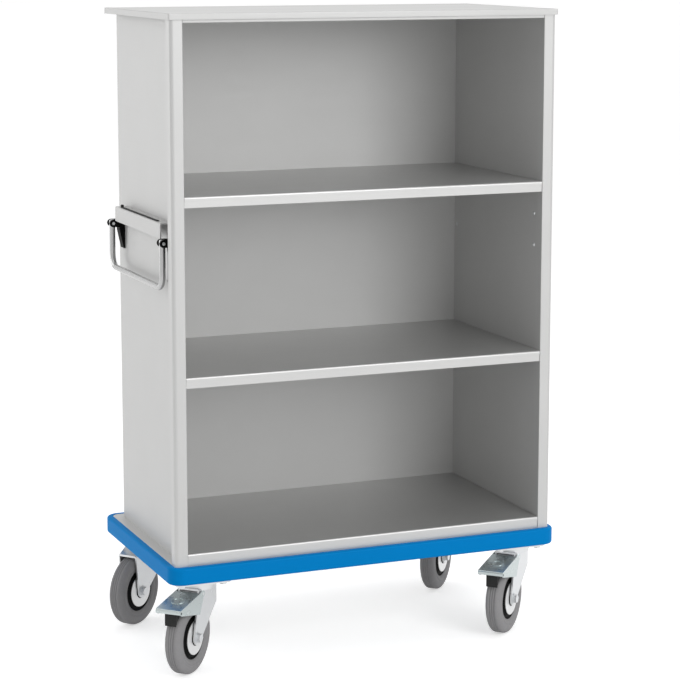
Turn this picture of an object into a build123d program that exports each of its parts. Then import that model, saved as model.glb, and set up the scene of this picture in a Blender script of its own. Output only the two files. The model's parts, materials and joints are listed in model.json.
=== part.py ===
from build123d import *
from math import atan2, cos, degrees, hypot, radians, sin
import os

# Open-front cabinet trolley, in millimetres. +X to the right, +Y to the back, +Z up.
# The origin is on the floor, under the middle of the base.

# Cabinet body
opening_width = 940.0
post_width = 32.0
post_depth = 30.0
post_round = 10.0
post_inner_round = 1.5
post_wall = 3.5
cabinet_depth = 516.0
wall_inset = 27.0
wall_thickness = 4.0
back_thickness = 2.5
panel_sheet = 2.0
panel_fold = 5.0
panel_nose = 10.0
panel_step = 1.2
panel_hem = 12.0
panel_clearance = 0.5
front_setback = 1.0
compartment_height = 404.5
shelf_edge = 26.5
floor_edge = 30.0
top_lip = 8.0
cap_height = 15.0
cap_overhang = 4.0
cap_sheet = 2.0
cap_corner = 4.0
cap_fold = 3.0

# Shelf pins and the spare places for the upper shelf
pin_radius = 4.0
pin_socket_depth = 3.0
pin_reach = 12.0
pin_row_inset = 16.0
pin_step = 80.0
spare_rows = 2
button_radius = 5.5
button_height = 3.0
notch_clearance = 1.0

# Base tray, bumper and castor rails
rear_ledge = 28.0
base_height = 45.0
tray_sheet = 3.0
tray_corner = 20.0
tray_fold = 3.0
bumper_height = 43.0
bumper_thickness = 15.0
bumper_round = 6.0
rail_side_gap = 1.0
rail_sheet = 4.0

# Folding handle on the left wall
handle_height = 1047.0
handle_margin = 35.0
handle_standoff = 30.0
handle_drop = 109.0
handle_tube = 15.0
handle_bend = 32.0
handle_tip = 9.0
handle_pin_radius = 4.0
ear_gap = 0.6
ear_thickness = 5.0
ear_radius = 9.5
block_thickness = 14.0
block_foot = 4.0
block_taper_drop = 8.0
block_tail = 64.0
bracket_rise = 45.0
bracket_reach = 28.0
bracket_sheet = 3.0
bracket_lip = 37.0
bracket_inset = 22.0
bracket_bend = 4.0
back_plate_inset = 44.0
back_plate_drop = 100.0
back_plate_corner = 12.0
strip_inset = 38.0
strip_width = 7.0
strip_thickness = 2.5
strip_knob_radius = 4.0
strip_knob = 8.0

# Castors
castor_inset_x = 75.0
castor_inset_y = 60.0
castor_trail = 55.0
plate_length = 140.0
plate_width = 110.0
plate_thickness = 6.0
plate_corner = 12.0
bolt_spacing_x = 105.0
bolt_spacing_y = 80.0
bolt_radius = 5.0
bolt_clearance = 0.5
bolt_head_flats = 16.0
bolt_head_height = 6.0
bolt_tail = 4.0
race_depth = 8.0
race_skirt_radius = 46.0
race_skirt = 6.0
ball_ring_inner = 28.0
swivel_gap = 0.5
running_clearance = 0.05
kingpin_radius = 7.0
kingpin_collar_radius = 11.0
kingpin_collar = 5.0
kingpin_head_radius = 12.0
kingpin_head = 8.0
kingpin_gap = 0.3

# Fork
wheel_headroom = 23.0
fork_inner_width = 48.0
fork_sheet = 4.0
fork_crown_sheet = 5.0
fork_bend = 6.0
fork_head_radius = 44.0
fork_head_rise = 2.5
fork_half_length = 46.0
fork_heel_height = 52.0
fork_nose_reach = 38.0
fork_nose_drop = 20.0
fork_tip_radius = 18.0
axle_boss_radius = 14.0
axle_boss = 1.5
axle_radius = 6.0
axle_head_flats = 19.0
axle_head = 7.5
axle_nut = 10.0
axle_tail = 3.0

# Wheel
wheel_diameter = 180.0
tyre_width = 40.0
tyre_side_width = 32.0
tread_width = 18.0
tyre_bulge_low = 8.0
tyre_bulge_high = 20.0
rim_diameter = 108.0
rim_width = 32.0
rim_edge = 3.0
rim_dish = 2.0
hub_diameter = 40.0
hub_width = 44.0
bearing_diameter = 26.0
bearing_end_gap = 0.5
hub_cap_diameter = 84.0
hub_cap_sheet = 1.5
hub_cap_dish = 1.0

# Brake pedal on the two front castors
pedal_pivot_x = 34.0
pedal_pivot_drop = 13.0
pedal_pin_radius = 4.0
pedal_start = 53.0
pedal_length = 101.0
pedal_slope = 9.0
pedal_rise = 5.0
pedal_sheet = 2.5
pedal_side_gap = 1.5
pedal_cheek_drop = 52.0
pedal_cheek_tip = 12.0
pedal_eye_radius = 7.5
pedal_lip_drop = 7.0
pedal_lip_roll = 5.0
pedal_lip_bore = 3.0
pedal_ring_outer = 17.0
pedal_ring_inner = 13.0
pedal_ring_height = 1.2
pedal_press = 6.0
shoe_clearance = 0.6
shoe_length = 90.0
shoe_width = 30.0

# Directions in which the wheels trail, in degrees from +X
trail_angles = {"fl": -135.7, "fr": -137.0, "rl": -142.0, "rr": -133.0}
castor_sides = {"fl": (-1, -1), "fr": (1, -1), "rl": (-1, 1), "rr": (1, 1)}
braked = ("fl", "fr")

# Places worked out from the sizes above
half_opening = opening_width / 2
post_outer = half_opening + post_width
wall_outer = post_outer - wall_inset
wall_inner = wall_outer - wall_thickness
tray_depth = cabinet_depth + rear_ledge
front_y = -tray_depth / 2
post_back_y = front_y + post_depth
back_y = front_y + cabinet_depth
back_inner_y = back_y - back_thickness
castor_x = post_outer - castor_inset_x
castor_y = tray_depth / 2 - castor_inset_y
crown_bottom = wheel_diameter + wheel_headroom
crown_top = crown_bottom + fork_crown_sheet
fork_top = crown_top + fork_head_rise
race_bottom = fork_top + swivel_gap
plate_bottom = race_bottom + race_depth
castor_height = plate_bottom + plate_thickness
base_top = castor_height + base_height
floor_top = base_top + floor_edge
lower_shelf_top = floor_top + compartment_height + shelf_edge
upper_shelf_top = lower_shelf_top + compartment_height + shelf_edge
opening_top = upper_shelf_top + compartment_height
cap_top = opening_top + top_lip + cap_height
body_top = cap_top - cap_sheet
panel_half = half_opening - panel_clearance
panel_front_y = front_y + front_setback
pin_rows_y = (post_back_y + pin_row_inset, back_inner_y - pin_row_inset)
wheel_radius = wheel_diameter / 2
fork_half_width = fork_inner_width / 2 + fork_sheet
parts = {}


def block(x0, x1, y0, y1, z0, z1):
    """A box between two corners."""
    middle = Pos((x0 + x1) / 2, (y0 + y1) / 2, (z0 + z1) / 2)
    return middle * Box(abs(x1 - x0), abs(y1 - y0), abs(z1 - z0))


def rod(radius, start, end, axis=Axis.Z):
    """A round bar along one axis, from start to end, through the origin of the other two."""
    length = end - start
    if axis == Axis.Z:
        return Pos(0, 0, (start + end) / 2) * Cylinder(radius, length)
    if axis == Axis.Y:
        return Pos(0, (start + end) / 2, 0) * Rot(90, 0, 0) * Cylinder(radius, length)
    return Pos((start + end) / 2, 0, 0) * Rot(0, 90, 0) * Cylinder(radius, length)


def hexagon(flats, start, end):
    """A hexagon bar along Y."""
    face = Plane.XZ * RegularPolygon(flats / 2, 6, major_radius=False)
    return Pos(0, end, 0) * extrude(face, end - start, dir=(0, -1, 0))


def side_plate(points, y0, y1):
    """A flat plate with its outline in the XZ plane, between two Y values."""
    face = make_face(Plane.XZ * Polyline(*points, close=True))
    return Pos(0, y0, 0) * extrude(face, y1 - y0, dir=(0, 1, 0))


def front_fold(panel, radius, low):
    """Rounds the long front edge of a folded sheet, at its top or its bottom."""
    long_edges = panel.edges().filter_by(Axis.X).group_by(Axis.Y)[0].sort_by(Axis.Z)
    return fillet(long_edges[0] if low else long_edges[-1], radius)


def make_posts():
    """Hollow front posts with a flat front and a rounded outer corner."""
    middle = Pos(half_opening + post_width / 2, front_y + post_depth / 2)
    outline = middle * Rectangle(post_width, post_depth)
    outer_corner = outline.vertices().sort_by(Axis.X)[-2:].sort_by(Axis.Y)[0]
    outline = fillet(outer_corner, post_round)
    inner_corner = outline.vertices().sort_by(Axis.X)[:2].sort_by(Axis.Y)[0]
    outline = fillet(inner_corner, post_inner_round)
    hollow = middle * Rectangle(post_width - 2 * post_wall, post_depth - 2 * post_wall)
    hollow = fillet(hollow.vertices().sort_by(Axis.Y)[:2].sort_by(Axis.X)[-1], post_round - post_wall)
    post = Pos(0, 0, base_top) * extrude(outline - hollow, body_top - base_top)
    parts["front_post_right"] = post
    parts["front_post_left"] = mirror(post, Plane.YZ)


def pin_places():
    """Heights of the shelf pins, and of the spare places under the upper shelf."""
    used = [top - panel_sheet - pin_radius for top in (lower_shelf_top, upper_shelf_top)]
    spare = [used[1] - pin_step * (row + 1) for row in range(spare_rows)]
    return used, spare


def make_walls():
    """Side walls with blind sockets for the shelf pins, and the back panel."""
    used, spare = pin_places()
    wall = block(wall_inner, wall_outer, post_back_y, back_inner_y, base_top, body_top)
    socket = rod(pin_radius + running_clearance, wall_inner, wall_inner + pin_socket_depth, Axis.X)
    for height in used + spare:
        for y in pin_rows_y:
            wall -= Pos(0, y, height) * socket
    parts["right_wall"] = wall
    parts["left_wall"] = mirror(wall, Plane.YZ)
    parts["back_panel"] = block(-wall_outer, wall_outer, back_inner_y, back_y, base_top, body_top)


def make_pins():
    """Steel shelf pins in use, and domed buttons that close the spare sockets."""
    used, spare = pin_places()
    pin = rod(pin_radius, wall_inner - pin_reach, wall_inner + pin_socket_depth, Axis.X)
    button = rod(pin_radius, wall_inner, wall_inner + pin_socket_depth, Axis.X)
    dome_radius = (button_radius**2 + button_height**2) / (2 * button_height)
    dome = Pos(wall_inner - button_height + dome_radius, 0, 0) * Sphere(dome_radius)
    button += dome & rod(2 * button_radius, wall_inner - 2 * button_height, wall_inner, Axis.X)
    pins = [Pos(0, y, z) * pin for z in used for y in pin_rows_y]
    buttons = [Pos(0, y, z) * button for z in spare for y in pin_rows_y]
    parts["shelf_pins"] = Compound(pins + [mirror(one, Plane.YZ) for one in pins])
    parts["socket_buttons"] = Compound(buttons + [mirror(one, Plane.YZ) for one in buttons])


def folded_panel(top, edge):
    """A sheet folded down on all four sides: a rounded nose in front, set back below it, and a hem."""
    low = top - edge
    sheet = panel_sheet
    panel = block(-panel_half, panel_half, panel_front_y, back_inner_y, low, top)
    panel = front_fold(panel, panel_fold, low=False)
    flange_y = panel_front_y + panel_step
    panel -= block(-panel_half, panel_half, panel_front_y, flange_y, low, top - panel_nose)
    hem_start = flange_y + sheet
    hollow = block(
        sheet - panel_half, panel_half - sheet, hem_start, back_inner_y - sheet, low, top - sheet
    )
    panel -= front_fold(hollow, panel_fold - sheet, low=False)
    panel += block(
        sheet - panel_half, panel_half - sheet, hem_start, hem_start + panel_hem, low, low + sheet
    )
    return panel


def make_shelves():
    """Two shelves whose notched side flanges drop over the pins, and the floor panel."""
    for name, top in (("lower_shelf", lower_shelf_top), ("upper_shelf", upper_shelf_top)):
        shelf = folded_panel(top, shelf_edge)
        notch = pin_radius + notch_clearance
        under = top - panel_sheet
        for y in pin_rows_y:
            for side in (-1, 1):
                shelf -= block(
                    side * (panel_half - panel_sheet), side * panel_half,
                    y - notch, y + notch, top - shelf_edge, under,
                )
        parts[name] = shelf
    parts["floor_panel"] = folded_panel(floor_top, floor_edge)


def make_top():
    """Ceiling panel folded up on all sides, and the cap that overhangs it."""
    sheet = panel_sheet
    ceiling = block(-panel_half, panel_half, panel_front_y, back_inner_y, opening_top, body_top)
    ceiling = front_fold(ceiling, sheet, low=True)
    ceiling -= block(
        sheet - panel_half, panel_half - sheet,
        panel_front_y + sheet, back_inner_y - sheet,
        opening_top + sheet, body_top,
    )
    parts["ceiling_panel"] = ceiling
    half = post_outer + cap_overhang
    cap_depth = cabinet_depth + 2 * cap_overhang
    middle_y = (front_y + back_y) / 2
    cap = extrude(RectangleRounded(2 * half, cap_depth, cap_corner), cap_height)
    cap = fillet(cap.faces().sort_by(Axis.Z)[-1].edges(), cap_fold)
    hollow = RectangleRounded(2 * (half - cap_sheet), cap_depth - 2 * cap_sheet, cap_corner - cap_sheet)
    cap -= extrude(hollow, cap_height - cap_sheet)
    parts["top_cap"] = Pos(0, middle_y, cap_top - cap_height) * cap


def make_base():
    """Base tray open below, the bumper round it and the two rails that carry the castors."""
    width = 2 * post_outer
    tray = extrude(RectangleRounded(width, tray_depth, tray_corner), base_height)
    tray = fillet(tray.faces().sort_by(Axis.Z)[-1].edges(), tray_fold)
    inner_corner = tray_corner - tray_sheet
    hollow = RectangleRounded(width - 2 * tray_sheet, tray_depth - 2 * tray_sheet, inner_corner)
    tray -= extrude(hollow, base_height - tray_sheet)
    parts["base_tray"] = Pos(0, 0, castor_height) * tray

    ring = RectangleRounded(
        width + 2 * bumper_thickness, tray_depth + 2 * bumper_thickness, tray_corner + bumper_thickness
    )
    bumper = extrude(ring, bumper_height)
    ends = bumper.faces().filter_by(Axis.Z).edges()
    bumper = fillet(ends, bumper_round)
    bumper -= extrude(RectangleRounded(width, tray_depth, tray_corner), bumper_height)
    bumper_bottom = base_top - bumper_height
    parts["bumper_strip"] = Pos(0, 0, bumper_bottom) * bumper

    half = post_outer - tray_sheet - rail_side_gap - castor_x
    end = tray_depth / 2
    top = base_top - tray_sheet
    gap = tray_sheet + rail_side_gap
    inside = RectangleRounded(width - 2 * gap, tray_depth - 2 * gap, tray_corner - gap)
    inside = Pos(0, 0, castor_height) * extrude(inside, base_height)
    rail = block(-half, half, -end, end, castor_height, top)
    rail -= block(rail_sheet - half, half - rail_sheet, -end, end, castor_height + rail_sheet, top)
    hole = rod(bolt_radius + bolt_clearance, castor_height, castor_height + rail_sheet)
    for x, y in bolt_places():
        for side in (-1, 1):
            rail -= Pos(x, side * castor_y + y, 0) * hole
    parts["castor_rail_left"] = (Pos(-castor_x, 0, 0) * rail) & inside
    parts["castor_rail_right"] = (Pos(castor_x, 0, 0) * rail) & inside


def bolt_places():
    """The four bolt positions of a castor plate, from its middle."""
    return [(x * bolt_spacing_x / 2, y * bolt_spacing_y / 2) for x in (-1, 1) for y in (-1, 1)]


def make_handle():
    """Folding push handle: bracket with its back plate and strip, pivot blocks, pins and tube bail."""
    x_pivot = -wall_outer - handle_standoff
    middle_y = (post_back_y + back_y) / 2
    leg = (back_y - post_back_y) / 2 - handle_margin
    top = handle_height + bracket_rise
    outer = -wall_outer - bracket_reach
    half = leg - bracket_inset

    bracket = block(outer, -wall_outer, -half, half, top - bracket_lip, top)
    bend = bracket.edges().filter_by(Axis.Y).group_by(Axis.Z)[-1].sort_by(Axis.X)[0]
    bracket = fillet(bend, bracket_bend)
    channel = block(
        outer + bracket_sheet, -wall_outer, -half, half, top - bracket_lip, top - bracket_sheet
    )
    bend = channel.edges().filter_by(Axis.Y).group_by(Axis.Z)[-1].sort_by(Axis.X)[0]
    bracket -= fillet(bend, bracket_bend - bracket_sheet)
    plate_half = leg - back_plate_inset
    plate = block(
        -wall_outer - bracket_sheet, -wall_outer,
        -plate_half, plate_half, handle_height - back_plate_drop, top,
    )
    plate = fillet(plate.edges().filter_by(Axis.X).group_by(Axis.Z)[0], back_plate_corner)
    parts["handle_bracket"] = Pos(0, middle_y, 0) * (bracket + plate)

    strip_half = half - strip_inset
    strip_x = outer + bracket_bend
    strip = block(strip_x, strip_x + strip_width, -strip_half, strip_half, top, top + strip_thickness)
    strip = fillet(strip.edges().filter_by(Axis.Y).group_by(Axis.Z)[-1], strip_thickness / 2)
    knob = rod(strip_knob_radius, top, top + strip_knob)
    knob = fillet(knob.faces().sort_by(Axis.Z)[-1].edges(), strip_knob_radius / 2)
    strip += Pos(strip_x + strip_width / 2, strip_half, 0) * knob
    parts["bracket_strip"] = Pos(0, middle_y, 0) * strip

    face = -wall_outer - block_thickness
    tail = handle_height - block_tail
    taper = handle_height - ear_radius - block_taper_drop
    ear_start = handle_tube / 2 + ear_gap
    ear_end = ear_start + ear_thickness
    foot = side_plate(
        [
            (-wall_outer, tail),
            (-wall_outer - block_foot, tail),
            (face, taper),
            (face, handle_height + ear_radius),
            (-wall_outer, handle_height + ear_radius),
        ],
        -ear_end,
        ear_end,
    )
    ear = block(x_pivot, face, ear_start, ear_end, handle_height - ear_radius, handle_height + ear_radius)
    ear += Pos(x_pivot, 0, handle_height) * rod(ear_radius, ear_start, ear_end, Axis.Y)
    pivot_block = foot + ear + mirror(ear, Plane.XZ)
    pin_at = Pos(x_pivot, 0, handle_height)
    pivot_block -= pin_at * rod(handle_pin_radius, -ear_end, ear_end, Axis.Y)
    pin = pin_at * rod(handle_pin_radius, -ear_end, ear_end, Axis.Y)
    places = [Pos(0, middle_y + side * leg, 0) for side in (-1, 1)]
    parts["handle_blocks"] = Compound([place * pivot_block for place in places])
    parts["handle_pins"] = Compound([place * pin for place in places])

    low = handle_height - handle_drop
    tip = handle_height + handle_tip
    path = FilletPolyline(
        (x_pivot, -leg, tip), (x_pivot, -leg, low), (x_pivot, leg, low), (x_pivot, leg, tip),
        radius=handle_bend,
    )
    bail = sweep(Plane((x_pivot, -leg, tip), z_dir=(0, 0, -1)) * Circle(handle_tube / 2), path=path)
    ends = bail.faces().sort_by(Axis.Z)[-2:]
    bail = fillet([edge for end in ends for edge in end.edges()], handle_tube / 4)
    hole_reach = leg + handle_tube
    hole = pin_at * rod(handle_pin_radius + running_clearance, -hole_reach, hole_reach, Axis.Y)
    parts["handle_bail"] = Pos(0, middle_y, 0) * (bail - hole)


def make_castor_plate():
    """Top plate with the skirt of its ball race, around the swivel axis."""
    plate = extrude(RectangleRounded(plate_length, plate_width, plate_corner), plate_thickness)
    plate = Pos(0, 0, plate_bottom) * plate
    skirt = rod(race_skirt_radius, race_bottom, plate_bottom)
    skirt -= rod(race_skirt_radius - race_skirt, race_bottom, plate_bottom)
    plate += skirt
    hole = rod(bolt_radius + bolt_clearance, plate_bottom, castor_height)
    for x, y in bolt_places():
        plate -= Pos(x, y, 0) * hole
    return plate - rod(kingpin_radius + running_clearance, plate_bottom, castor_height)


def make_castor_bolt():
    """A bolt from below, with its head on the plate and its nut on the rail."""
    upper = castor_height + rail_sheet
    lower = plate_bottom - bolt_head_height
    head = Pos(0, 0, lower) * extrude(
        RegularPolygon(bolt_head_flats / 2, 6, major_radius=False), bolt_head_height
    )
    bolt = head + rod(bolt_radius, plate_bottom, upper + bolt_head_height + bolt_tail)
    nut = Pos(0, 0, upper) * extrude(
        RegularPolygon(bolt_head_flats / 2, 6, major_radius=False), bolt_head_height
    )
    nut -= rod(bolt_radius, upper, upper + bolt_head_height)
    return [bolt, nut]


def make_kingpin():
    """Swivel pin: a stub in the plate, a collar under it and a head that carries the fork."""
    head_top = crown_bottom - kingpin_gap
    pin = rod(kingpin_radius, head_top, castor_height)
    pin += rod(kingpin_collar_radius, plate_bottom - kingpin_collar, plate_bottom)
    return pin + rod(kingpin_head_radius, head_top - kingpin_head, head_top)


def make_ball_ring():
    """The ring of caged balls inside the race skirt."""
    ring = rod(race_skirt_radius - race_skirt, race_bottom, plate_bottom)
    return ring - rod(ball_ring_inner, race_bottom, plate_bottom)


def fork_top_line(with_brake):
    """The fork's upper edge from its toe: the plain forks go on as a nose over the wheel."""
    toe = (fork_half_length, crown_top)
    if with_brake:
        return [toe]
    return [toe, (fork_half_length + fork_nose_reach, crown_top - fork_nose_drop)]


def fork_outline(with_brake):
    """Side view of the fork: a straight heel, then tangents to the round axle end."""
    axle = (castor_trail, wheel_radius)
    heel = (-fork_half_length, crown_top - fork_heel_height)
    top_line = fork_top_line(with_brake)

    def tangent(point, side):
        dx, dz = axle[0] - point[0], axle[1] - point[1]
        lean = degrees(atan2(dz, dx)) + side * 90
        swing = atan2(fork_tip_radius, (hypot(dx, dz) ** 2 - fork_tip_radius**2) ** 0.5)
        angle = radians(lean) + side * swing
        return (axle[0] + fork_tip_radius * cos(angle), axle[1] + fork_tip_radius * sin(angle))

    below = tangent(heel, -1)
    front = tangent(top_line[-1], 1)
    lowest = (axle[0], axle[1] - fork_tip_radius)
    lines = Polyline(front, *reversed(top_line), (-fork_half_length, crown_top), heel, below)
    tip = ThreePointArc(below, lowest, front)
    return make_face(Plane.XZ * (lines + tip))


def fork_hollow(with_brake):
    """The space between the fork's legs, one sheet below its upper edge."""
    reach = castor_trail + fork_tip_radius + fork_half_length + fork_nose_reach
    inner = fork_inner_width / 2
    points = [(-reach, 0), (-reach, crown_bottom)]
    if with_brake:
        points += [(reach, crown_bottom), (reach, 0)]
        return side_plate(points, -inner, inner)
    slope = atan2(fork_nose_drop, fork_nose_reach)
    bend_x = fork_half_length - fork_crown_sheet * (1 - cos(slope)) / sin(slope)
    end_x = bend_x + reach * cos(slope)
    points += [(bend_x, crown_bottom), (end_x, crown_bottom - reach * sin(slope)), (end_x, 0)]
    return side_plate(points, -inner, inner)


def make_fork(with_brake):
    """Pressed fork: an inverted U in section, cut to the side view, with a round head."""
    fork = extrude(fork_outline(with_brake), fork_half_width, both=True)
    bends = [
        edge
        for edge in fork.edges()
        if abs(edge.center().Y) > fork_half_width / 2
        and edge.center().Z > crown_top - fork_nose_drop * 0.75
    ]
    fork = fillet(bends, fork_bend)
    fork -= fork_hollow(with_brake)
    fork += rod(fork_head_radius, crown_bottom, fork_top)
    axle_at = Pos(castor_trail, 0, wheel_radius)
    for side in (-1, 1):
        start = side * fork_half_width
        end = start + side * axle_boss
        fork += axle_at * rod(axle_boss_radius, min(start, end), max(start, end), Axis.Y)
    width = fork_half_width + axle_boss
    fork -= axle_at * rod(axle_radius + running_clearance, -width, width, Axis.Y)
    fork -= rod(kingpin_radius + running_clearance, crown_bottom, fork_top)
    if with_brake:
        fork -= pedal_pivot() * rod(pedal_pin_radius + running_clearance, -width, width, Axis.Y)
    return fork


def make_axle():
    """Axle bolt with a hexagon head, and its nut."""
    side = fork_half_width + axle_boss
    bolt = rod(axle_radius, -side - axle_nut - axle_tail, side, Axis.Y)
    bolt += hexagon(axle_head_flats, side, side + axle_head)
    nut = hexagon(axle_head_flats, -side - axle_nut, -side)
    nut -= rod(axle_radius, -side - axle_nut, -side, Axis.Y)
    axle_at = Pos(castor_trail, 0, wheel_radius)
    return [axle_at * bolt, axle_at * nut]


def turned(outline):
    """A body of revolution about the wheel axis, from points of (distance along it, radius)."""
    return revolve(make_face(outline), Axis.Y)


def turned_points(points):
    """A body of revolution from straight runs only."""
    return turned(Polyline(*[(radius, along) for along, radius in points], close=True))


def make_wheel():
    """Solid rubber tyre, rim with coned sides, bearing and two hub caps, on the Y axis."""
    rim_r = rim_diameter / 2
    hub_r = hub_diameter / 2
    bearing_r = bearing_diameter / 2
    half_bearing = fork_inner_width / 2 - bearing_end_gap
    bearing = rod(bearing_r, -half_bearing, half_bearing, Axis.Y)
    bearing -= rod(axle_radius + running_clearance, -half_bearing, half_bearing, Axis.Y)

    half_hub, half_rim = hub_width / 2, rim_width / 2
    cap_r = hub_cap_diameter / 2
    cap_seat = half_hub - hub_cap_sheet - hub_cap_dish
    upper = [
        (half_hub, bearing_r), (half_hub, hub_r), (cap_seat, hub_r), (cap_seat, cap_r),
        (half_rim - rim_dish, rim_r - rim_edge), (half_rim, rim_r - rim_edge), (half_rim, rim_r),
    ]
    rim = turned_points(upper + [(-along, radius) for along, radius in reversed(upper)])

    side, bulge, tread = tyre_side_width / 2, tyre_width / 2, tread_width / 2
    low, high = rim_r + tyre_bulge_low, rim_r + tyre_bulge_high
    shoulder = (
        high + (wheel_radius - high) * sin(radians(45)),
        tread + (bulge - tread) * cos(radians(45)),
    )
    flanks = Polyline((wheel_radius, -tread), (wheel_radius, tread))
    flanks += ThreePointArc((wheel_radius, tread), shoulder, (high, bulge))
    flanks += Polyline(
        (high, bulge), (low, bulge), (rim_r, side), (rim_r, -side), (low, -bulge), (high, -bulge)
    )
    flanks += ThreePointArc((high, -bulge), (shoulder[0], -shoulder[1]), (wheel_radius, -tread))
    tyre = turned(flanks)

    cap = turned_points(
        [
            (cap_seat, hub_r), (half_hub, hub_r),
            (cap_seat + hub_cap_sheet, cap_r), (cap_seat, cap_r),
        ]
    )
    caps = [cap, mirror(cap, Plane.XZ)]
    return {"tyre": [tyre], "rim": [rim], "bearing": [bearing], "hub_caps": caps}


def pedal_pivot():
    """Place of the pedal's pivot in the fork."""
    return Pos(pedal_pivot_x, 0, crown_top - pedal_pivot_drop)


def make_brake():
    """Brake pedal with side cheeks and a rolled lip, its shoe and its pivot pin."""
    inner = fork_half_width + axle_boss + pedal_side_gap
    outer = inner + pedal_sheet
    pivot_z = crown_top - pedal_pivot_drop
    slope = radians(pedal_slope)
    start = (pedal_start, pivot_z + pedal_rise)
    end = (start[0] + pedal_length * cos(slope), start[1] - pedal_length * sin(slope))
    down = (-pedal_sheet * sin(slope), -pedal_sheet * cos(slope))
    lip = (end[0] - pedal_lip_drop * sin(slope), end[1] - pedal_lip_drop * cos(slope))
    lip_back = (lip[0] - pedal_sheet * cos(slope), lip[1] + pedal_sheet * sin(slope))
    corner = (end[0] + down[0] - pedal_sheet * cos(slope), end[1] + down[1] + pedal_sheet * sin(slope))
    plate = side_plate(
        [start, end, lip, lip_back, corner, (start[0] + down[0], start[1] + down[1])], -outer, outer
    )
    cheek_low = (start[0], start[1] - pedal_cheek_drop)
    cheek_tip = (
        corner[0] - pedal_cheek_tip * sin(slope),
        corner[1] - pedal_cheek_tip * cos(slope),
    )
    eye = Pos(pedal_pivot_x, 0, pivot_z) * rod(pedal_eye_radius, inner, outer, Axis.Y)
    cheek = side_plate(
        [
            start, corner, cheek_tip, cheek_low,
            (pedal_pivot_x, pivot_z - pedal_eye_radius), (pedal_pivot_x, pivot_z + pedal_eye_radius),
        ],
        inner, outer,
    )
    cheek += eye
    roll = Pos((lip[0] + lip_back[0]) / 2, 0, (lip[1] + lip_back[1]) / 2)
    bore = roll * rod(pedal_lip_bore, -outer, outer, Axis.Y)
    roll = roll * rod(pedal_lip_roll, -outer, outer, Axis.Y)
    tread = Plane(
        ((start[0] + end[0]) / 2, 0, (start[1] + end[1]) / 2),
        x_dir=(cos(slope), 0, -sin(slope)),
        z_dir=(sin(slope), 0, cos(slope)),
    )
    ring = extrude(tread * (Circle(pedal_ring_outer) - Circle(pedal_ring_inner)), pedal_ring_height)
    pedal = plate + cheek + mirror(cheek, Plane.XZ) + roll - bore + ring
    pedal -= pedal_pivot() * rod(pedal_pin_radius + running_clearance, -outer, outer, Axis.Y)
    pin = pedal_pivot() * rod(pedal_pin_radius, -outer, outer, Axis.Y)

    shoe_start = start[0]
    shoe_end = shoe_start + shoe_length
    shoe = block(shoe_start, shoe_end, -shoe_width / 2, shoe_width / 2, wheel_radius, start[1])
    below_plate = side_plate(
        [
            (start[0] + down[0], start[1] + down[1]), corner,
            (corner[0], wheel_radius), (start[0] + down[0], wheel_radius),
        ],
        -outer, outer,
    )
    pressed = Rot(0, -pedal_press, 0) * Pos(castor_trail - pedal_pivot_x, 0, wheel_radius - pivot_z)
    clear = pedal_pivot() * pressed * rod(wheel_radius + shoe_clearance, -outer, outer, Axis.Y)
    shoe = (shoe & below_plate) - clear
    return {"brake_pedal": [pedal], "brake_shoe": [shoe], "pedal_pin": [pin]}


def make_castors():
    """Four swivel castors: plates square to the base, forks and wheels turned to their trail."""
    wheel = make_wheel()
    plate = make_castor_plate()
    kingpins, rings, bolts = [], [], []
    for corner, (side_x, side_y) in castor_sides.items():
        place = Pos(side_x * castor_x, side_y * castor_y, 0)
        turn = place * Rot(0, 0, trail_angles[corner])
        parts["castor_plate_" + corner] = place * plate
        kingpins.append(place * make_kingpin())
        rings.append(place * make_ball_ring())
        for x, y in bolt_places():
            bolts += [place * Pos(x, y, 0) * piece for piece in make_castor_bolt()]
        parts["fork_" + corner] = turn * make_fork(corner in braked)
        parts["axle_" + corner] = Compound([turn * piece for piece in make_axle()])
        axle_at = turn * Pos(castor_trail, 0, wheel_radius)
        for name, pieces in wheel.items():
            parts[name + "_" + corner] = Compound([axle_at * piece for piece in pieces])
        if corner in braked:
            for name, pieces in make_brake().items():
                parts[name + "_" + corner] = Compound([turn * piece for piece in pieces])
    parts["kingpins"] = Compound(kingpins)
    parts["ball_rings"] = Compound(rings)
    parts["castor_bolts"] = Compound(bolts)


make_posts()
make_walls()
make_pins()
make_shelves()
make_top()
make_base()
make_handle()
make_castors()

os.makedirs("parts", exist_ok=True)
for name, shape in parts.items():
    export_step(shape, "parts/" + name + ".step")
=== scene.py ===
import json
from math import cos, pi, radians, sin

import bmesh
import bpy
from mathutils import Matrix, Vector


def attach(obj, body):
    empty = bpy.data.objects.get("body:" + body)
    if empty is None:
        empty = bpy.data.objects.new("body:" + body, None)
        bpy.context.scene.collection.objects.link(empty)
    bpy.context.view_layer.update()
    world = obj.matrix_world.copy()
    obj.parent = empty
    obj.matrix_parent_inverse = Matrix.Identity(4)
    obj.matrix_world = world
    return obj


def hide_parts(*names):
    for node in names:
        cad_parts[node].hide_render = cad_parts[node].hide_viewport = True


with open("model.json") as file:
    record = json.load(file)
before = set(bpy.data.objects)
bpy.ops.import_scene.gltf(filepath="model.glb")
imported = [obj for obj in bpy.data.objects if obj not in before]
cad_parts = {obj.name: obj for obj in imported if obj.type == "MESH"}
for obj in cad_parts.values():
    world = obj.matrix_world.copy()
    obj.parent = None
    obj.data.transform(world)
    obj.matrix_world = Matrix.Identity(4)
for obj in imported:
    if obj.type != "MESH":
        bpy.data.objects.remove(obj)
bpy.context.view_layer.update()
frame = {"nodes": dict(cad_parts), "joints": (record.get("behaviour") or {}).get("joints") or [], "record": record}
scene = bpy.context.scene

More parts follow.
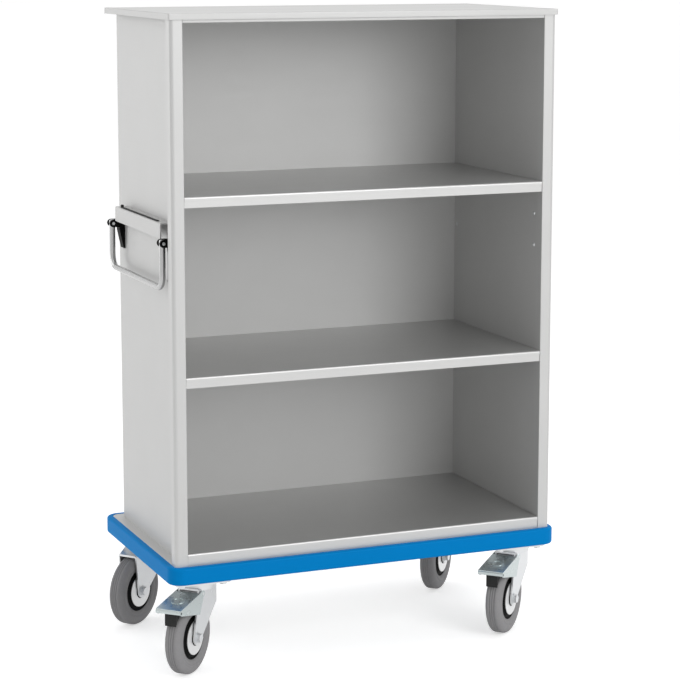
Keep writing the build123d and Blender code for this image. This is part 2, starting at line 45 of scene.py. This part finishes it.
# Section of a tyre, in metres. A rise is measured out from the rim.
tyre_radius = 0.090
tyre_half_width = 0.020
rim_radius = 0.054
seat_half_width = 0.016
bead_rise = 0.0045
bead_half_width = 0.0178
side_rise = 0.008
side_groove_start = 0.0125
side_groove_middle = 0.0135
side_groove_end = 0.0145
side_groove_half_width = 0.0192
shoulder_height = 0.0155
shoulder_steps = 8
tread_half_width = 0.0095
tread_groove_place = 0.0058
tread_groove_depth = 0.0016
tread_groove_half_width = 0.0011
tyre_segments = 96

# Surface of every material: the grain's low and high value give the least and the most roughness
grain_detail = 4.0
cloud_detail = 5.0
grain_low = 0.25
grain_high = 0.75
relief_height = 0.0005
# Share of the fine grain in the change of a colour
grain_share = 0.6
# Scale of a sheet's grain along its lines and across them
along_lines = 4
across_lines = 700

# Places of a mix node's sockets, several of which have the same name
mix_share = 0
mix_numbers = (2, 3)
mix_colours = (6, 7)
mixed_number = 0
mixed_colour = 2

# Floor, surround and lamps
white = (1.0, 1.0, 1.0, 1.0)
floor_reach = 60.0
floor_lift = 0.5
surround_light = 0.53
surround_seen = 1.0
lamp_size = 3.0
lamps = {
    "key": dict(place=(1.8, -5.6, 3.3), target=(0, 0, 0.8), power=138.0),
    "left": dict(place=(-3.4, 2.6, 1.8), target=(-0.5, 0, 0.8), power=42.0),
    "top": dict(place=(0.2, 0.4, 4.4), target=(0, 0, 1.0), power=30.0),
}

# The photo's camera
camera_place = (-2.07535, -5.15180, 1.74855)
camera_turn = 22.274
camera_dip = 8.824
camera_lens = 116.69
camera_sensor = 36.0
camera_shift = -0.08

corner_words = {"fl": "front_left", "fr": "front_right", "rl": "rear_left", "rr": "rear_right"}
joints = {joint["name"]: joint for joint in frame["joints"]}
slots = {piece["node"]: piece["material_slot"] for piece in frame["record"]["subparts"]}

# Finish of each material slot, with its grain along X, Y and Z
finishes = {
    "panel_grey": dict(
        colour=(0.555, 0.555, 0.55), metallic=0.35, roughness=0.5,
        grain=(along_lines, along_lines, across_lines), spread=0.08, bump=0.12,
    ),
    "shelf_grey": dict(
        colour=(0.52, 0.52, 0.515), metallic=0.75, roughness=0.42,
        grain=(along_lines, across_lines, across_lines), spread=0.08, bump=0.12,
    ),
    "post_silver": dict(
        colour=(0.56, 0.56, 0.555), metallic=0.4, roughness=0.48,
        grain=(across_lines, across_lines, along_lines), spread=0.08, bump=0.10,
    ),
    "bumper_blue": dict(
        colour=(0.0, 0.225, 0.60), metallic=0.0, roughness=0.5,
        grain=(250, 250, 250), spread=0.06, bump=0.05, specular=0.04,
    ),
    "zinc_steel": dict(
        colour=(0.66, 0.67, 0.68), metallic=0.85, roughness=0.32,
        grain=(60, 60, 60), spread=0.06, bump=0.015, shade=0.04, cloud=30.0,
    ),
    # The pedal's darker, blue-green tint is painted reflection of the blue bumper and the dark surroundings on
    # bright zinc
    "pedal_steel": dict(
        colour=(0.50, 0.55, 0.55), metallic=0.9, roughness=0.3,
        grain=(80, 80, 80), spread=0.06, bump=0.05, cloud=40.0,
    ),
    # The handle's darker grey is painted shade of the bail hanging in shadow beside the wall
    "handle_steel": dict(
        colour=(0.42, 0.42, 0.42), metallic=0.95, roughness=0.24,
        grain=(60, 60, 60), spread=0.05, bump=0.02, shade=0.03, cloud=40.0,
    ),
    "black_plastic": dict(
        colour=(0.004, 0.004, 0.004), metallic=0.0, roughness=0.5,
        grain=(400, 400, 400), spread=0.08, bump=0.06, specular=0.05,
    ),
    "black_rubber": dict(
        colour=(0.02, 0.02, 0.02), metallic=0.0, roughness=0.75,
        grain=(400, 400, 400), spread=0.08, bump=0.08, specular=0.3,
    ),
    "grey_tyre": dict(
        colour=(0.295, 0.29, 0.295), metallic=0.0, roughness=0.72,
        grain=(300, 300, 300), spread=0.08, bump=0.1, shade=0.16, cloud=70.0, specular=0.3,
    ),
    "hub_silver": dict(
        colour=(0.70, 0.70, 0.70), metallic=0.85, roughness=0.35,
        grain=(90, 90, 90), spread=0.06, bump=0.04, cloud=40.0,
    ),
}
floor_finish = dict(
    colour=(0.9, 0.9, 0.9), metallic=0.0, roughness=0.9,
    grain=(3, 3, 3), spread=0.02, bump=0.0, shade=0.01,
)


def finish_material(
    name, colour, metallic, roughness, grain, spread, bump, shade=0.06, cloud=9.0, specular=0.5
):
    """A material with a fine grain in its roughness and relief, and a broad cloud too in its colour."""
    made = bpy.data.materials.new(name)
    made.use_nodes = True
    nodes = made.node_tree.nodes
    links = made.node_tree.links
    shader = nodes["Principled BSDF"]
    shader.inputs["Metallic"].default_value = metallic
    shader.inputs["Specular IOR Level"].default_value = specular

    place = nodes.new("ShaderNodeTexCoord")
    stretch = nodes.new("ShaderNodeMapping")
    stretch.inputs["Scale"].default_value = grain
    links.new(place.outputs["Object"], stretch.inputs["Vector"])
    fine = nodes.new("ShaderNodeTexNoise")
    fine.inputs["Scale"].default_value = 1.0
    fine.inputs["Detail"].default_value = grain_detail
    links.new(stretch.outputs["Vector"], fine.inputs["Vector"])
    broad = nodes.new("ShaderNodeTexNoise")
    broad.inputs["Scale"].default_value = cloud
    broad.inputs["Detail"].default_value = cloud_detail
    links.new(place.outputs["Object"], broad.inputs["Vector"])

    rough = nodes.new("ShaderNodeMapRange")
    rough.inputs["From Min"].default_value = grain_low
    rough.inputs["From Max"].default_value = grain_high
    rough.inputs["To Min"].default_value = roughness - spread
    rough.inputs["To Max"].default_value = roughness + spread
    links.new(fine.outputs["Fac"], rough.inputs["Value"])
    links.new(rough.outputs["Result"], shader.inputs["Roughness"])

    mottle = nodes.new("ShaderNodeMix")
    mottle.inputs[mix_share].default_value = grain_share
    links.new(broad.outputs["Fac"], mottle.inputs[mix_numbers[0]])
    links.new(fine.outputs["Fac"], mottle.inputs[mix_numbers[1]])
    darker = [part * (1 - shade) for part in colour]
    lighter = [min(1.0, part * (1 + shade)) for part in colour]
    tint = nodes.new("ShaderNodeMix")
    tint.data_type = "RGBA"
    tint.inputs[mix_colours[0]].default_value = darker + [1.0]
    tint.inputs[mix_colours[1]].default_value = lighter + [1.0]
    links.new(mottle.outputs[mixed_number], tint.inputs[mix_share])
    links.new(tint.outputs[mixed_colour], shader.inputs["Base Color"])

    relief = nodes.new("ShaderNodeBump")
    relief.inputs["Strength"].default_value = bump
    relief.inputs["Distance"].default_value = relief_height
    links.new(fine.outputs["Fac"], relief.inputs["Height"])
    links.new(relief.outputs["Normal"], shader.inputs["Normal"])
    return made


materials = {name: finish_material(name, **finish) for name, finish in finishes.items()}


def paint(obj, slot):
    """Gives one object the material of its slot."""
    obj.data.materials.clear()
    obj.data.materials.append(materials[slot])


for name, node in frame["nodes"].items():
    paint(node, slots[name])


def lathe(name, profile, segments, place):
    """A closed ring turned about the local Y axis from (radius, along) points, set at a place."""
    shape = bmesh.new()
    rings = []
    for step in range(segments):
        angle = 2 * pi * step / segments
        ring = []
        for radius, along in profile:
            ring.append(shape.verts.new((radius * cos(angle), along, radius * sin(angle))))
        rings.append(ring)
    count = len(profile)
    for step in range(segments):
        this = rings[step]
        after = rings[(step + 1) % segments]
        for point in range(count):
            other = (point + 1) % count
            shape.faces.new((this[point], this[other], after[other], after[point]))
    bmesh.ops.recalc_face_normals(shape, faces=shape.faces)
    mesh = bpy.data.meshes.new(name)
    shape.to_mesh(mesh)
    shape.free()
    for face in mesh.polygons:
        face.use_smooth = True
    mesh.transform(place)
    obj = bpy.data.objects.new(name, mesh)
    scene.collection.objects.link(obj)
    return obj


def wheel_place(words):
    """Where a wheel's axle is and how it is turned, from its joint."""
    joint = joints["wheel_spin_" + words]
    along = Vector(joint["axis"]).normalized()
    up = Vector((0, 0, 1))
    across = along.cross(up).normalized()
    turn = Matrix((across, along, up)).transposed().to_4x4()
    return Matrix.Translation(Vector(joint["pos_m"])) @ turn


def tread_groove(place):
    """The four points of a groove in the tread, at a place along the axle."""
    bottom = tyre_radius - tread_groove_depth
    return [
        (tyre_radius, place - tread_groove_half_width),
        (bottom, place - tread_groove_half_width / 2),
        (bottom, place + tread_groove_half_width / 2),
        (tyre_radius, place + tread_groove_half_width),
    ]


def tyre_profile():
    """Section of a solid tyre: one half, the middle tread groove and the mirrored half."""
    half = [
        (rim_radius, -seat_half_width),
        (rim_radius + bead_rise, -bead_half_width),
        (rim_radius + side_rise, -tyre_half_width),
        (rim_radius + side_groove_start, -tyre_half_width),
        (rim_radius + side_groove_middle, -side_groove_half_width),
        (rim_radius + side_groove_end, -tyre_half_width),
    ]
    shoulder_width = tyre_half_width - tread_half_width
    for step in range(shoulder_steps + 1):
        angle = radians(90 * step / shoulder_steps)
        radius = tyre_radius - shoulder_height + shoulder_height * sin(angle)
        half.append((radius, -(tread_half_width + shoulder_width * cos(angle))))
    half += tread_groove(-tread_groove_place)
    mirrored = [(radius, -along) for radius, along in reversed(half)]
    return half + tread_groove(0.0) + mirrored


for corner, words in corner_words.items():
    tyre = lathe("tread_" + corner, tyre_profile(), tyre_segments, wheel_place(words))
    paint(tyre, "grey_tyre")
    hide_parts("tyre_" + corner)
    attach(tyre, "wheel_" + words)


def seen_rays(nodes, links):
    """A value of 1 for rays that show a surface straight, in a reflection or through glass, else 0."""
    path = nodes.new("ShaderNodeLightPath")
    either = nodes.new("ShaderNodeMath")
    either.operation = "MAXIMUM"
    links.new(path.outputs["Is Camera Ray"], either.inputs[0])
    links.new(path.outputs["Is Glossy Ray"], either.inputs[1])
    every = nodes.new("ShaderNodeMath")
    every.operation = "MAXIMUM"
    links.new(either.outputs[0], every.inputs[0])
    links.new(path.outputs["Is Transmission Ray"], every.inputs[1])
    return every.outputs[0]


def make_floor():
    """A wide pale floor, lifted to white where it is seen, that keeps the shadow."""
    signs = ((-1, -1), (1, -1), (1, 1), (-1, 1))
    corners = [(x * floor_reach, y * floor_reach, 0) for x, y in signs]
    mesh = bpy.data.meshes.new("floor")
    mesh.from_pydata(corners, [], [(0, 1, 2, 3)])
    floor = bpy.data.objects.new("floor", mesh)
    scene.collection.objects.link(floor)
    material = finish_material("floor_pale", **floor_finish)
    nodes = material.node_tree.nodes
    links = material.node_tree.links
    lift = nodes.new("ShaderNodeMath")
    lift.operation = "MULTIPLY"
    lift.inputs[1].default_value = floor_lift
    links.new(seen_rays(nodes, links), lift.inputs[0])
    shader = nodes["Principled BSDF"]
    shader.inputs["Emission Color"].default_value = white
    links.new(lift.outputs[0], shader.inputs["Emission Strength"])
    floor.data.materials.append(material)


def make_world():
    """An even white surround that gives less light than it shows."""
    world = bpy.data.worlds.new("studio")
    scene.world = world
    world.use_nodes = True
    nodes = world.node_tree.nodes
    links = world.node_tree.links
    sky = nodes["Background"]
    sky.inputs["Color"].default_value = white
    level = nodes.new("ShaderNodeMapRange")
    level.inputs["To Min"].default_value = surround_light
    level.inputs["To Max"].default_value = surround_seen
    links.new(seen_rays(nodes, links), level.inputs["Value"])
    links.new(level.outputs["Result"], sky.inputs["Strength"])


def make_lamp(name, place, target, power):
    """A square soft lamp aimed at a point."""
    data = bpy.data.lights.new(name, "AREA")
    data.size = lamp_size
    data.energy = power
    lamp = bpy.data.objects.new(name, data)
    lamp.location = place
    aim = Vector(target) - Vector(place)
    lamp.rotation_euler = aim.to_track_quat("-Z", "Y").to_euler()
    scene.collection.objects.link(lamp)


def make_camera():
    """The camera at the photo's viewing angle."""
    data = bpy.data.cameras.new("camera")
    data.lens = camera_lens
    data.sensor_width = camera_sensor
    data.shift_y = camera_shift
    camera = bpy.data.objects.new("camera", data)
    camera.location = camera_place
    camera.rotation_euler = (radians(90 - camera_dip), 0, radians(-camera_turn))
    scene.collection.objects.link(camera)
    scene.camera = camera


scene.view_settings.view_transform = "Standard"
make_floor()
make_world()
for name, lamp in lamps.items():
    make_lamp(name, **lamp)
make_camera()
